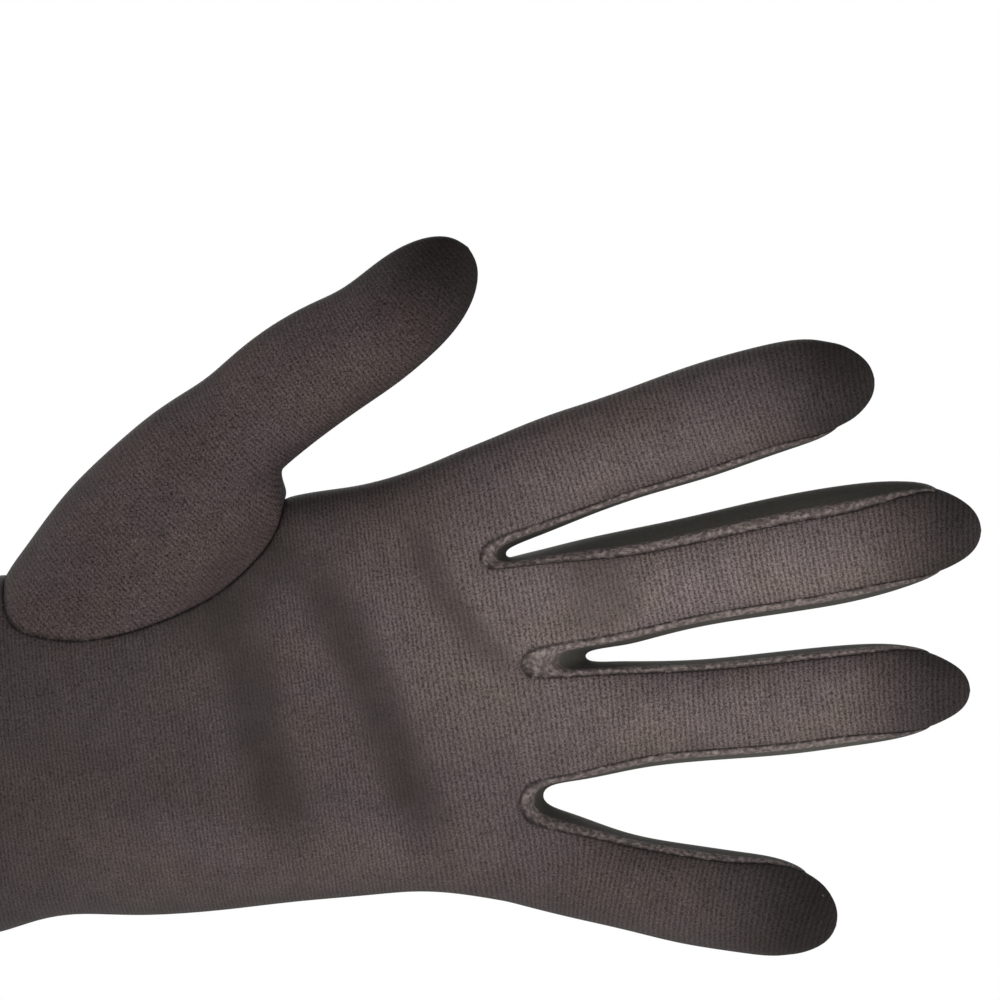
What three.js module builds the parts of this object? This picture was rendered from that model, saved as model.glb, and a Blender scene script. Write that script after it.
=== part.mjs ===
// A knitted evening glove for the left hand, in its worn shape and hollow, with the palm towards -Y,
// the fingers along +X and the thumb up along +Z. The origin is the middle of the wrist. Millimetres.
//
// It is cut as a sewn glove is: one trank that wraps the hand and carries the palm and back of each finger
// and the sleeve, a thumb piece set into an oval opening of the trank, and three fourchettes, the long strips
// that join palm to back along the sides of neighbouring fingers and round the crotch between them.
// Threads of quads run along the cloth, from the hem to the fingertips, and rows run across them.

import * as THREE from "three";

// Driving dimensions, in millimetres and degrees.
const WALL = 1.0;               // thickness of the knit
const HEM_WALL = 1.8;           // the turned hem is double
const HEM_DEPTH = 10;           // how far the hem is turned up
const SEAM_GAP = 0.3;           // clearance between two sewn edges
const HAND_SQUARENESS = 2.4;    // 2 would make the hand's section an ellipse
const FINGER_CELLS = 4;         // quads across the palm side, and across the back, of each finger
const SIDE_CELLS = 3;           // quads across a fourchette
const HAND_ROWS = 17;           // rows of quads from the wrist to the knuckles
const THUMB_ROWS = 8;           // rows of quads from the oval seam to the thumb's first full section
const FINGER_ROWS = 9;          // rows of quads from the knuckles to a finger's rounded tip
const THUMB_UPPER_ROWS = 5;     // rows of quads from there to the thumb's rounded tip
const RELAX_PASSES = 400;       // rounds of averaging that spread the rows around the thumb's opening
const OVAL_DIVISIONS = 400;     // points along half of the oval seam from which its equal steps are taken
const MITRE_LIMIT = 0.12;       // keeps a sharp corner of a seam from being drawn back too far
const CLOSE = 1e-3;             // two places nearer than this count as one
const TURN = 360;

// Sections across the sleeve and the hand. top is the thumb side, bottom the little finger's side,
// palm and back the depth in front of and behind the middle plane.
const HAND_COLUMNS = ["x", "top", "bottom", "palm", "back"];
const HAND_SECTIONS = [
  [-120, 35.5, -34.5, 29, 29],
  [-85, 33.0, -32.0, 26.5, 26.5],
  [-50, 30.0, -29.0, 23, 22.5],
  [-24, 27.5, -26.8, 20, 19.5],
  [-13, 27.8, -27.8, 19.5, 19],
  [-4, 30.4, -30.8, 20, 19],
  [3, 31.8, -28.8, 20, 18],
  [10, 33.0, -26.5, 20, 17],
  [24, 36.0, -26.7, 20, 15.8],
  [36, 39.8, -26.0, 18.5, 14.8],
  [50, 44.9, -24.4, 16.5, 14],
  [62, 46.6, -23.4, 15, 13.2],
  [72, 49.8, -22.6, 13.6, 12.6],
  [82, 54.4, -23.8, 12.4, 12],
  [96, 60.5, -27.2, 10.5, 11],
];

// Rows along the sleeve, from the hem to where the rows start to part around the thumb's opening.
const SLEEVE_ROWS = [-120, -110, -109, -95, -81, -67, -54, -42, -32, -24, -17, -10];
const PARTING_X = -10;

// Each finger's middle line and its half width and half depth, from the knuckles to the very tip; over its
// last `cap` millimetres the section rounds off to nothing. Seams are angles around the finger: 0 is the side
// nearer the thumb, 90 the palm side, 180 the far side. The forefinger comes first, the little finger last.
const BONE_COLUMNS = ["x", "y", "z", "width", "depth"];
const FINGERS = [
  {
    cap: 14.5, knuckleLength: 18,
    palmSeams: [42, 146], backSeams: [-42, -140],
    bones: [
      [82.0, 0.0, 44.8, 9.9, 9.6],
      [91.8, -0.2, 48.2, 9.8, 9.2],
      [104.9, -1.0, 52.6, 9.4, 8.8],
      [118.0, -2.2, 56.9, 9.9, 8.7],
      [127.0, -3.4, 59.9, 9.7, 8.2],
      [137.7, -5.0, 62.8, 9.0, 7.4],
      [148.4, -6.6, 64.4, 8.4, 6.6],
    ],
  },
  {
    cap: 20, knuckleLength: 20,
    palmSeams: [60, 140], backSeams: [-36, -140],
    bones: [
      [91.8, 0.0, 26.0, 9.4, 9.8],
      [101.7, -0.3, 28.2, 10.1, 9.4],
      [109.0, -0.7, 29.8, 10.0, 9.2],
      [117.0, -1.2, 31.6, 9.8, 9.0],
      [132.3, -2.4, 34.6, 10.4, 8.9],
      [142.0, -3.6, 36.3, 10.5, 8.4],
      [155.0, -5.4, 38.6, 9.7, 7.4],
      [166.5, -6.8, 38.8, 9.3, 6.6],
    ],
  },
  {
    cap: 18, knuckleLength: 20,
    palmSeams: [38, 138], backSeams: [-40, -140],
    bones: [
      [93.0, 0.0, 6.9, 9.4, 9.4],
      [105.4, -0.2, 7.4, 9.4, 8.9],
      [119.5, -1.0, 8.2, 9.0, 8.5],
      [133.5, -2.4, 9.5, 9.2, 8.4],
      [143.0, -3.7, 10.7, 9.0, 7.9],
      [154.5, -5.4, 11.8, 8.5, 7.2],
      [164.6, -6.8, 11.8, 8.0, 6.4],
    ],
  },
  {
    cap: 13.5, knuckleLength: 18,
    palmSeams: [40, 138], backSeams: [-40, -138],
    bones: [
      [89.0, 0.0, -16.4, 8.5, 8.8],
      [98.4, -0.3, -18.9, 8.5, 8.3],
      [108.0, -1.0, -21.2, 8.4, 7.9],
      [117.3, -2.2, -23.0, 8.8, 7.8],
      [124.5, -3.6, -24.0, 8.8, 7.5],
      [131.5, -5.0, -25.0, 8.6, 6.9],
      [141.9, -6.8, -28.0, 8.2, 6.2],
    ],
  },
];
const TAPER_LENGTH = 15;        // how far a fourchette narrows to its point
const TIP_MARGIN = 6;           // how far short of the fingertip the point ends
const CAP_START_SHARE = 0.3;    // a row of quads this share along the rounded tip
const CAP_END_SHARE = 0.65;     // and one this share from the fourchette's point to the very tip

// The bottom of each gap between two fingers. x, z and halfGap give the palm seam's corners, round how much
// nearer the wrist the middle of the bend lies, web the place halfway from palm to back, where the fingers
// come closest, and backX the seam on the back.
const CROTCH_COLUMNS = ["x", "z", "halfGap", "round", "webX", "webZ", "webHalfGap", "backX"];
const CROTCHES = [
  [83.0, 34.5, 2.4, 1.6, 87.8, 34.9, 0.8, 80],
  [89.8, 16.4, 2.4, 1.6, 103.0, 17.6, 0.7, 87],
  [89.8, -7.0, 3.4, 2.0, 94.2, -6.0, 1.5, 87],
];
// Where the knuckle row meets the thumb side and the little finger's side: x, and the angle around the hand.
const KNUCKLE_ENDS = {
  thumbSide: { palm: [79, 21], back: [77, -21] },
  farSide: { palm: [87, 158], back: [86, 202] },
};
const WRIST_SIDE_ANGLE = 30;    // half the angle of the hand's two edges at the wrist

// The oval seam of the thumb, clockwise in the palm view from the fork of thumb and forefinger,
// first over the palm and then back over the back of the hand.
const OVAL_PALM = [
  [48.6, 45.0], [47.8, 39.8], [45.4, 35.4], [38.4, 28.6], [27.4, 23.2], [15.2, 20.4],
  [6.6, 21.4], [2.2, 24.6], [0.9, 30.6],
];
const OVAL_BACK = [[0.9, 30.6], [5, 27.6], [16, 27], [30, 30], [41, 36], [48.6, 45.0]];
// The opening's block of quads: rows from the wrist, and columns either side of the hand's thumb edge.
const OPENING = { firstRow: 3, lastRow: 12, palmColumns: 5, backColumns: 4 };

const THUMB = {
  cap: 16,
  capShares: [0.35, 0.65, 0.88], // rows of quads along the rounded tip
  bones: [
    [10, -1.0, 25.0, 11.5, 14.5],
    [21.8, -2.5, 36.8, 13.6, 14.0],
    [33.2, -5.0, 49.8, 11.4, 12.4],
    [42.2, -7.0, 57.0, 9.9, 10.6],
    [48.5, -8.6, 62.4, 10.2, 9.8],
    [55.6, -10.2, 67.2, 10.0, 9.4],
    [63.2, -11.6, 71.3, 9.2, 9.0],
    [70.5, -13.0, 77.5, 9.0, 8.0],
    [79.7, -14.6, 86.3, 9.4, 7.2],
  ],
  fullSection: 3,                // the first row of bones where the section is the thumb's own
  lowestAngle: -120,             // the seam's first point lies less than a turn above this
  sharpStep: 90,                 // a step up the seam's angles by more than this is a turn too far
};

// Soft folds across the palm: a line from (x1, z1) to (x2, z2) that bows by `bow`, how far the cloth sinks
// there (negative) or stands up, and the fold's half width.
const FOLD_COLUMNS = ["x1", "z1", "x2", "z2", "bow", "rise", "spread"];
const PALM_FOLDS = [
  [53, 36, 73, -18, 3.5, -1.5, 4.2],
  [61, 30, 79, -14, 2.5, 0.8, 4.5],
  [43, 24, 56, -14, 2.0, -1.3, 4.0],
  [49, 26, 63, -17, 3.0, 0.8, 3.6],
  [73, 44, 86, 12, -1.0, -0.8, 3.2],
];

// Small helpers.
const radians = THREE.MathUtils.degToRad;
const mix = (a, b, t) => a + (b - a) * t;
const named = (columns, row) => Object.fromEntries(columns.map((key, i) => [key, row[i]]));
const handSections = HAND_SECTIONS.map((row) => named(HAND_COLUMNS, row));
const crotches = CROTCHES.map((row) => named(CROTCH_COLUMNS, row));
const folds = PALM_FOLDS.map((row) => named(FOLD_COLUMNS, row));

// A smooth curve through table rows: cubic pieces whose slopes come from the rows on either side.
function throughRows(rows, key) {
  const columns = Object.keys(rows[0]).filter((column) => column !== key);
  const slope = (i, column) => {
    const a = rows[Math.max(i - 1, 0)];
    const b = rows[Math.min(i + 1, rows.length - 1)];
    return (b[column] - a[column]) / (b[key] - a[key]);
  };
  return (at) => {
    let i = 0;
    while (i < rows.length - 2 && at > rows[i + 1][key]) i += 1;
    const [a, b] = [rows[i], rows[i + 1]];
    const span = b[key] - a[key];
    const t = (at - a[key]) / span;
    const value = {};
    for (const column of columns) {
      const [m0, m1] = [slope(i, column), slope(i + 1, column)];
      if (t < 0) value[column] = a[column] + m0 * t * span;
      else if (t > 1) value[column] = b[column] + m1 * (t - 1) * span;
      else {
        value[column] = a[column] * (1 + 2 * t) * (1 - t) ** 2 + b[column] * t * t * (3 - 2 * t)
          + span * (m0 * t * (1 - t) ** 2 + m1 * t * t * (t - 1));
      }
    }
    return value;
  };
}

// The hand: a rounded section at each x, and the angle around it that a given z has on the palm or back.
const handSection = throughRows(handSections, "x");

function foldRise(x, z) {
  let rise = 0;
  for (const fold of folds) {
    const along = new THREE.Vector2(fold.x2 - fold.x1, fold.z2 - fold.z1);
    const length = along.length();
    along.divideScalar(length);
    const [dx, dz] = [x - fold.x1, z - fold.z1];
    const t = (dx * along.x + dz * along.y) / length;
    const aside = dx * along.y * -1 + dz * along.x + fold.bow * 4 * t * (1 - t);
    const ends = THREE.MathUtils.smoothstep(t, -0.1, 0.25) * (1 - THREE.MathUtils.smoothstep(t, 0.75, 1.1));
    rise += fold.rise * ends * Math.exp(-((aside / fold.spread) ** 2));
  }
  return rise;
}

function handPoint(x, angle) {
  const { top, bottom, palm, back } = handSection(x);
  const [c, s] = [Math.cos(radians(angle)), Math.sin(radians(angle))];
  const round = (v) => Math.sign(v) * Math.abs(v) ** (2 / HAND_SQUARENESS);
  const z = (top + bottom) / 2 + ((top - bottom) / 2) * round(c);
  const depth = round(s) * (s > 0 ? palm + foldRise(x, z) * s : back);
  return new THREE.Vector3(x, -depth, z);
}

function handAngle(x, z, onBack) {
  const { top, bottom } = handSection(x);
  const t = THREE.MathUtils.clamp((z - (top + bottom) / 2) / ((top - bottom) / 2), -1, 1);
  const angle = THREE.MathUtils.radToDeg(Math.acos(Math.sign(t) * Math.abs(t) ** (HAND_SQUARENESS / 2)));
  return onBack ? -angle : angle;
}

// A finger or thumb: an oval tube along its middle line that rounds off to its tip. station is the distance
// along the line from its first row.
function makeDigit({ bones, cap }) {
  const rows = bones.map((row) => named(BONE_COLUMNS, row));
  rows.forEach((row, i) => {
    const before = rows[Math.max(i - 1, 0)];
    const step = Math.hypot(row.x - before.x, row.y - before.y, row.z - before.z);
    row.station = i === 0 ? 0 : before.station + step;
  });
  const line = throughRows(rows, "station");
  const tip = rows[rows.length - 1].station;
  const last = tip - cap;
  const frame = (station) => {
    const { x, y, z, width, depth } = line(station);
    const [before, after] = [line(station - 0.5), line(station + 0.5)];
    const along = new THREE.Vector3(after.x - before.x, after.y - before.y, after.z - before.z).normalize();
    const across = new THREE.Vector3(-along.z, 0, along.x).normalize();
    return { centre: new THREE.Vector3(x, y, z), across, forward: along.cross(across), width, depth };
  };
  const point = (station, angle) => {
    const { centre, across, forward, width, depth } = frame(station);
    const share = THREE.MathUtils.clamp((station - last) / cap, 0, 1);
    const shrink = Math.sqrt(1 - share * share);
    return centre
      .addScaledVector(across, width * shrink * Math.cos(radians(angle)))
      .addScaledVector(forward, depth * shrink * Math.sin(radians(angle)));
  };
  return { rows, last, tip, frame, point };
}

// How much of the knuckle row's shape is left at a share of the way to the first free section.
const fade = (share) => (share >= 1 ? 0 : (1 - share) ** 2 * (1 + 2 * share));

// The quads of the whole glove, each with the piece that it belongs to.
const quads = [];
const addQuad = (piece, a, b, c, d) => quads.push({ piece, corners: [a, b, c, d] });
function addStrip(piece, rowA, rowB) {
  for (let i = 0; i + 1 < rowA.length; i += 1) {
    addQuad(piece, rowA[i], rowB[i], rowB[i + 1], rowA[i + 1]);
  }
}

// The columns of the hand, once around from the forefinger's back corner: thumb edge, palm side of the four
// fingers with a cell for each crotch, far edge, and back side. Each column has its place on the knuckle row.
const crotchCorner = (crotch, side, onBack) => {
  const x = (onBack ? crotch.backX : crotch.x) - (side === 0 ? crotch.round : 0);
  return { x, angle: handAngle(x, crotch.z + side * crotch.halfGap, onBack) };
};
const edgeEnd = ([x, angle]) => ({ x, angle });
function knuckleCorners(finger) {
  const above = crotches[finger - 1];
  const below = crotches[finger];
  const { thumbSide, farSide } = KNUCKLE_ENDS;
  return {
    palm: [
      above ? crotchCorner(above, -1, false) : edgeEnd(thumbSide.palm),
      below ? crotchCorner(below, 1, false) : edgeEnd(farSide.palm),
    ],
    back: [
      above ? crotchCorner(above, -1, true) : edgeEnd(thumbSide.back),
      below ? crotchCorner(below, 1, true) : edgeEnd([farSide.back[0], farSide.back[1] - TURN]),
    ],
  };
}
const evenColumns = (from, to, cells) => Array.from({ length: cells + 1 }, (_, i) => ({
  x: mix(from.x, to.x, i / cells),
  angle: mix(from.angle, to.angle, i / cells),
}));
const corners = FINGERS.map((_, finger) => knuckleCorners(finger));
const withCrotches = (face) => corners.flatMap((finger, i) => [
  ...evenColumns(...finger[face], FINGER_CELLS),
  ...crotches.slice(i, i + 1).map((crotch) => crotchCorner(crotch, 0, face === "back")),
]);
const palmColumns = withCrotches("palm");
const backColumns = withCrotches("back");
const palmLast = palmColumns[palmColumns.length - 1];
const backLast = backColumns[backColumns.length - 1];
const oneTurnOn = ({ x, angle }) => ({ x, angle: angle + TURN });
const thumbEdge = evenColumns(backColumns[0], palmColumns[0], SIDE_CELLS).slice(1, -1);
const farEdge = evenColumns(palmLast, oneTurnOn(backLast), SIDE_CELLS).slice(1, -1);
const around = [
  ...thumbEdge,
  ...palmColumns,
  ...farEdge,
  ...backColumns.map(oneTurnOn).reverse(),
];
const columnCount = around.length;
const palmStart = thumbEdge.length;
const backStart = palmStart + palmColumns.length + farEdge.length;
const edgeStep = (2 * WRIST_SIDE_ANGLE) / SIDE_CELLS;
const faceStep = (180 - 2 * WRIST_SIDE_ANGLE) / (palmColumns.length - 1);
const wristAngle = (column) => {
  if (column < palmStart) return -WRIST_SIDE_ANGLE + edgeStep * (column + 1);
  if (column < palmStart + palmColumns.length) return WRIST_SIDE_ANGLE + faceStep * (column - palmStart);
  if (column < backStart) {
    return 180 - WRIST_SIDE_ANGLE + edgeStep * (column + 1 - palmStart - palmColumns.length);
  }
  return 180 + WRIST_SIDE_ANGLE + faceStep * (column - backStart);
};

// The oval seam as equal steps along its palm half or its back half, in x and angle around the hand.
function ovalSteps(points, onBack, steps) {
  const ends = [0, points.length - 1];
  const path = points.map(([x, z], i) => {
    const angle = ends.includes(i) ? 0 : handAngle(x, z, onBack);
    return { x, angle, at: handPoint(x, angle) };
  });
  const curve = new THREE.CatmullRomCurve3(path.map(({ x, angle }) => new THREE.Vector3(x, angle, 0)));
  const dense = curve.getPoints(OVAL_DIVISIONS);
  const length = [0];
  dense.forEach((p, i) => {
    if (i > 0) {
      const before = handPoint(dense[i - 1].x, dense[i - 1].y);
      length.push(length[i - 1] + handPoint(p.x, p.y).distanceTo(before));
    }
  });
  return Array.from({ length: steps + 1 }, (_, i) => {
    const target = (length[OVAL_DIVISIONS] * i) / steps;
    const found = dense[length.findIndex((reached) => reached + CLOSE * CLOSE >= target)];
    return { x: found.x, angle: found.y };
  });
}

// The grid of the hand from the parting row to the knuckle row, in x and angle. The rim of the thumb's
// opening lies on the oval seam, and every other inner point is the average of its four neighbours.
const gridRows = HAND_ROWS + 1;
const column = (c) => (c + columnCount) % columnCount;
function turns(c) {
  if (c < 0) return -TURN;
  return c >= columnCount ? TURN : 0;
}
const grid = Array.from({ length: gridRows + 1 }, (_, r) => around.map((knuckle, c) => ({
  x: mix(PARTING_X, knuckle.x, r / gridRows),
  angle: mix(wristAngle(c), knuckle.angle, r / gridRows),
  fixed: r === 0 || r === gridRows,
})));
const edgeColumn = Math.floor(thumbEdge.length / 2);
const { firstRow, lastRow } = OPENING;
const rimFar = edgeColumn + OPENING.palmColumns;
const rimNear = edgeColumn - OPENING.backColumns;
const rim = [];
for (let c = edgeColumn; c < rimFar; c += 1) rim.push([lastRow, c]);
for (let r = lastRow; r > firstRow; r -= 1) rim.push([r, rimFar]);
for (let c = rimFar; c > edgeColumn; c -= 1) rim.push([firstRow, c]);
const palmHalf = rim.length;
for (let c = edgeColumn; c > rimNear; c -= 1) rim.push([firstRow, c]);
for (let r = firstRow; r < lastRow; r += 1) rim.push([r, rimNear]);
for (let c = rimNear; c < edgeColumn; c += 1) rim.push([lastRow, c]);
const oval = [
  ...ovalSteps(OVAL_PALM, false, palmHalf).slice(0, -1),
  ...ovalSteps(OVAL_BACK, true, rim.length - palmHalf).slice(0, -1),
];
rim.forEach(([r, c], i) => {
  grid[r][column(c)] = { x: oval[i].x, angle: oval[i].angle - turns(c), fixed: true };
});
const inOpening = (r, c) => {
  const near = c > columnCount / 2 ? c - columnCount : c;
  return r > firstRow && r < lastRow && near > rimNear && near < rimFar;
};
for (let pass = 0; pass < RELAX_PASSES; pass += 1) {
  for (let r = 1; r < gridRows; r += 1) {
    for (let c = 0; c < columnCount; c += 1) {
      const here = grid[r][c];
      if (here.fixed || inOpening(r, c)) continue;
      const [before, after] = [grid[r][column(c - 1)], grid[r][column(c + 1)]];
      here.x = (grid[r - 1][c].x + grid[r + 1][c].x + before.x + after.x) / 4;
      const sides = before.angle + turns(c - 1) + after.angle + turns(c + 1);
      here.angle = (grid[r - 1][c].angle + grid[r + 1][c].angle + sides) / 4;
    }
  }
}

// The trank from the hem to the knuckles.
const ringOf = (points) => [...points, points[0]];
const sleeve = SLEEVE_ROWS.slice(0, -1).map((x) => ringOf(around.map((_, c) => handPoint(x, wristAngle(c)))));
const hand = grid.map((row) => ringOf(row.map(({ x, angle }) => handPoint(x, angle))));
const trankRows = [...sleeve, ...hand];
for (let r = 0; r + 1 < trankRows.length; r += 1) {
  for (let c = 0; c < columnCount; c += 1) {
    const gridRow = r - sleeve.length;
    const near = c > columnCount / 2 ? c - columnCount : c;
    const open = gridRow >= firstRow && gridRow < lastRow && near >= rimNear && near < rimFar;
    if (open) continue;
    addQuad("trank", trankRows[r][c], trankRows[r + 1][c], trankRows[r + 1][c + 1], trankRows[r][c + 1]);
  }
}
const knuckleRow = hand[gridRows];

// A fourchette's line across the bottom of a gap, from the palm seam (share 0) to the back seam (share 1), on
// the side of the finger above (side 1), below (-1) or midway (0).
const saddle = (crotch, side, share) => {
  const palm = crotchCorner(crotch, side, false);
  const back = crotchCorner(crotch, side, true);
  const from = handPoint(palm.x, palm.angle);
  const to = handPoint(back.x, back.angle);
  const pull = 4 * share * (1 - share);
  const webX = crotch.webX - (side === 0 ? crotch.round / 2 : 0);
  const webZ = crotch.webZ + side * crotch.webHalfGap;
  const point = from.clone().lerp(to, share);
  point.x += pull * (webX - (from.x + to.x) / 2);
  point.z += pull * (webZ - (from.z + to.z) / 2);
  return point;
};

// The fingers: rings of points from the knuckle row to the tip, whose shape fades from the knuckle row's to
// the finger's own section.
FINGERS.forEach((finger, index) => {
  const digit = makeDigit(finger);
  const start = palmStart + index * (FINGER_CELLS + 2);
  const backEnd = backStart + (FINGERS.length - 1 - index) * (FINGER_CELLS + 2);
  const palmRoots = knuckleRow.slice(start, start + FINGER_CELLS + 1);
  const backRoots = knuckleRow.slice(backEnd, backEnd + FINGER_CELLS + 1);
  const inner = Array.from({ length: SIDE_CELLS - 1 }, (_, i) => (i + 1) / SIDE_CELLS);
  const above = crotches[index - 1];
  const below = crotches[index];
  const farRoots = below
    ? inner.map((share) => saddle(below, 1, share))
    : knuckleRow.slice(start + FINGER_CELLS + 1, start + FINGER_CELLS + 1 + inner.length);
  const nearRoots = above
    ? inner.map((share) => saddle(above, -1, share)).reverse()
    : knuckleRow.slice(0, inner.length);
  const roots = [...palmRoots, ...farRoots, ...backRoots, ...nearRoots];
  const pointEnd = digit.tip - TIP_MARGIN;
  const taper = (station) => {
    const share = THREE.MathUtils.clamp((station - (pointEnd - TAPER_LENGTH)) / TAPER_LENGTH, 0, 1);
    return 1 - share * share;
  };
  const sideMiddles = [
    (finger.palmSeams[0] + finger.backSeams[0]) / 2,
    (finger.palmSeams[1] + finger.backSeams[1] + TURN) / 2,
  ];
  const ringAngles = (station) => {
    const open = taper(station);
    const near = mix(sideMiddles[0], finger.palmSeams[0], open);
    const far = mix(sideMiddles[1], finger.palmSeams[1], open);
    const backFar = mix(sideMiddles[1], finger.backSeams[1] + TURN, open);
    const backNear = mix(sideMiddles[0] + TURN, finger.backSeams[0] + TURN, open);
    const run = (a, b, cells, from, to) => Array.from(
      { length: to - from }, (_, i) => mix(a, b, (i + from) / cells),
    );
    return [
      ...run(near, far, FINGER_CELLS, 0, FINGER_CELLS + 1),
      ...run(far, backFar, SIDE_CELLS, 1, SIDE_CELLS),
      ...run(backFar, backNear, FINGER_CELLS, 0, FINGER_CELLS + 1),
      ...run(backNear, near + TURN, SIDE_CELLS, 1, SIDE_CELLS),
    ];
  };
  const rootAngles = ringAngles(0);
  const drift = roots.map((root, i) => root.clone().sub(digit.point(0, rootAngles[i])));
  const ring = (station) => {
    const left = fade(station / finger.knuckleLength);
    const angles = ringAngles(station);
    return ringOf(drift.map((d, i) => digit.point(station, angles[i]).addScaledVector(d, left)));
  };
  const stations = [];
  for (let i = 0; i <= FINGER_ROWS; i += 1) stations.push((digit.last * i) / FINGER_ROWS);
  stations.push(mix(digit.last, digit.tip, CAP_START_SHARE));
  stations.push(pointEnd, mix(pointEnd, digit.tip, CAP_END_SHARE));
  stations.sort((a, b) => a - b);
  const rings = stations.map(ring);
  const side = FINGER_CELLS + SIDE_CELLS;
  const pieceOf = (cell) => {
    if (cell >= FINGER_CELLS && cell < side && below) return `fourchette_${index + 1}`;
    if (cell >= FINGER_CELLS + side && above) return `fourchette_${index}`;
    return "trank";
  };
  for (let r = 0; r + 1 < rings.length; r += 1) {
    for (let cell = 0; cell < 2 * side; cell += 1) {
      const closed = stations[r] >= pointEnd;
      addQuad(
        closed ? "trank" : pieceOf(cell),
        rings[r][cell], rings[r + 1][cell], rings[r + 1][cell + 1], rings[r][cell + 1],
      );
    }
  }
  const pole = digit.point(digit.tip, 0);
  const lastRing = rings[rings.length - 1];
  for (let cell = 0; cell < 2 * side; cell += 1) {
    addQuad("trank", lastRing[cell], pole, pole, lastRing[cell + 1]);
  }
});

// The short strip at the bottom of each crotch that joins a fourchette's two sides.
crotches.forEach((crotch, i) => {
  const shares = Array.from({ length: SIDE_CELLS + 1 }, (_, k) => k / SIDE_CELLS);
  const [upper, middle, lower] = [1, 0, -1].map((side) => shares.map((share) => saddle(crotch, side, share)));
  addStrip(`fourchette_${i + 1}`, lower, middle);
  addStrip(`fourchette_${i + 1}`, middle, upper);
});

// The thumb piece: each thread leaves its point of the oval seam and fades into the thumb's own section.
const thumb = makeDigit(THUMB);
const fullStation = thumb.rows[THUMB.fullSection].station;
const seamPoints = oval.map(({ x, angle }) => handPoint(x, angle));
const axisStart = thumb.frame(0).centre;
const axisWay = thumb.frame(fullStation).centre.sub(axisStart).normalize();
const threads = seamPoints.map((seam) => {
  const station = seam.clone().sub(axisStart).dot(axisWay);
  const { centre, across, forward, width, depth } = thumb.frame(station);
  const reach = seam.clone().sub(centre);
  const angle = THREE.MathUtils.radToDeg(Math.atan2(reach.dot(forward) / depth, reach.dot(across) / width));
  return { station, angle: (angle + TURN - THUMB.lowestAngle) % TURN + THUMB.lowestAngle, seam };
});
const evenStep = TURN / threads.length;
threads.forEach((thread, i) => {
  const before = threads[i - 1];
  while (before && thread.angle > before.angle + THUMB.sharpStep) thread.angle -= TURN;
});
const turnOffset = threads.reduce((sum, { angle }, i) => sum + angle + evenStep * i, 0) / threads.length;
threads.forEach((thread, i) => {
  thread.evenAngle = turnOffset - evenStep * i;
  thread.drift = thread.seam.clone().sub(thumb.point(thread.station, thread.angle));
});
const thumbRings = [];
for (let r = 0; r <= THUMB_ROWS; r += 1) {
  const share = r / THUMB_ROWS;
  thumbRings.push(ringOf(threads.map(({ station, angle, evenAngle, drift }) => (
    thumb.point(mix(station, fullStation, share), mix(evenAngle, angle, fade(share)))
      .addScaledVector(drift, fade(share))
  ))));
}
const upperStations = Array.from({ length: THUMB_UPPER_ROWS }, (_, i) => (
  mix(fullStation, thumb.last, (i + 1) / THUMB_UPPER_ROWS)
));
const capStations = THUMB.capShares.map((share) => mix(thumb.last, thumb.tip, share));
for (const station of [...upperStations, ...capStations]) {
  thumbRings.push(ringOf(threads.map(({ evenAngle }) => thumb.point(station, evenAngle))));
}
for (let r = 0; r + 1 < thumbRings.length; r += 1) addStrip("thumb_piece", thumbRings[r + 1], thumbRings[r]);
const thumbTop = thumbRings[thumbRings.length - 1];
const thumbPole = thumb.point(thumb.tip, 0);
for (let i = 0; i + 1 < thumbTop.length; i += 1) {
  addQuad("thumb_piece", thumbPole, thumbTop[i], thumbTop[i + 1], thumbPole);
}

// Points that coincide become one, and quads become triangles.
const WELD = 1e4;
const places = [];
const known = new Map();
function indexOf(point) {
  const key = [point.x, point.y, point.z].map((v) => Math.round(v * WELD)).join(" ");
  if (!known.has(key)) {
    known.set(key, places.length);
    places.push(point.clone());
  }
  return known.get(key);
}
const faces = [];
for (const { piece, corners: points } of quads) {
  const [a, b, c, d] = points.map(indexOf);
  for (const face of [[a, c, b], [a, d, c]]) {
    if (new Set(face).size === 3) faces.push({ piece, face });
  }
}

// Outward direction at each point of the whole glove, so that two sewn pieces share it along their seam.
const outward = places.map(() => new THREE.Vector3());
for (const { face: [a, b, c] } of faces) {
  const normal = places[b].clone().sub(places[a]).cross(places[c].clone().sub(places[a]));
  for (const i of [a, b, c]) outward[i].add(normal);
}
outward.forEach((normal) => normal.normalize());

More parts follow.
